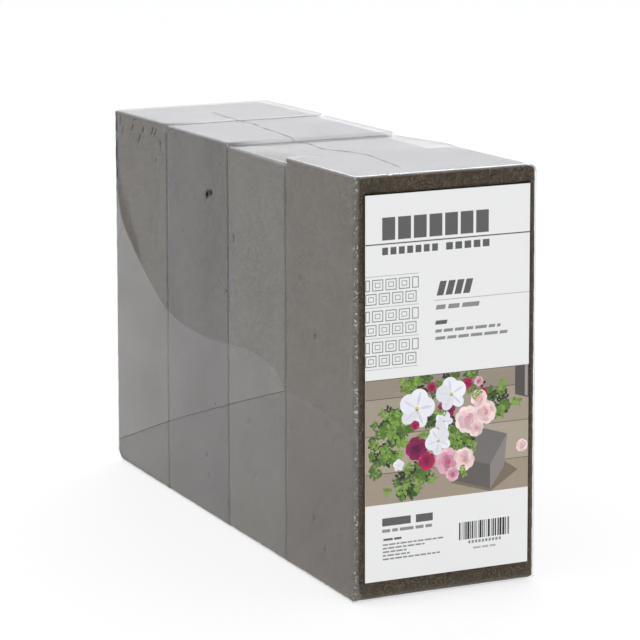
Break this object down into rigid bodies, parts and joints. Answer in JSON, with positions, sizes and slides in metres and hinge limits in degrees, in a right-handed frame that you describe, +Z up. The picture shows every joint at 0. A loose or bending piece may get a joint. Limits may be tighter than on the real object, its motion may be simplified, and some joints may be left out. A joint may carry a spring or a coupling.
{
  "type": "shrink-wrapped pack of floral foam bricks",
  "caption": "Upright block of dry floral foam bricks standing in a row, held together by clear shrink film, with a printed card behind the film on the narrow front end.",
  "frame": {"origin": "centre of the pack's footprint, on the surface that it stands on", "axes": "+Z up along the bricks' long side; +Y backwards through the row of bricks, away from the printed card; +X to the right of someone who reads the card"},
  "size_m": [0.1112, 0.3218, 0.2312],
  "materials": {
    "dry_foam": "open-cell rigid foam, dull and dusty",
    "printed_card": "printed white card",
    "clear_film": "clear glossy shrink film"
  },
  "bodies": {
    "root": {"foam_brick_1": "dry_foam", "foam_brick_2": "dry_foam", "foam_brick_3": "dry_foam", "foam_brick_4": "dry_foam", "label_card": "printed_card", "shrink_film": "clear_film"}
  },
  "joints": []
}
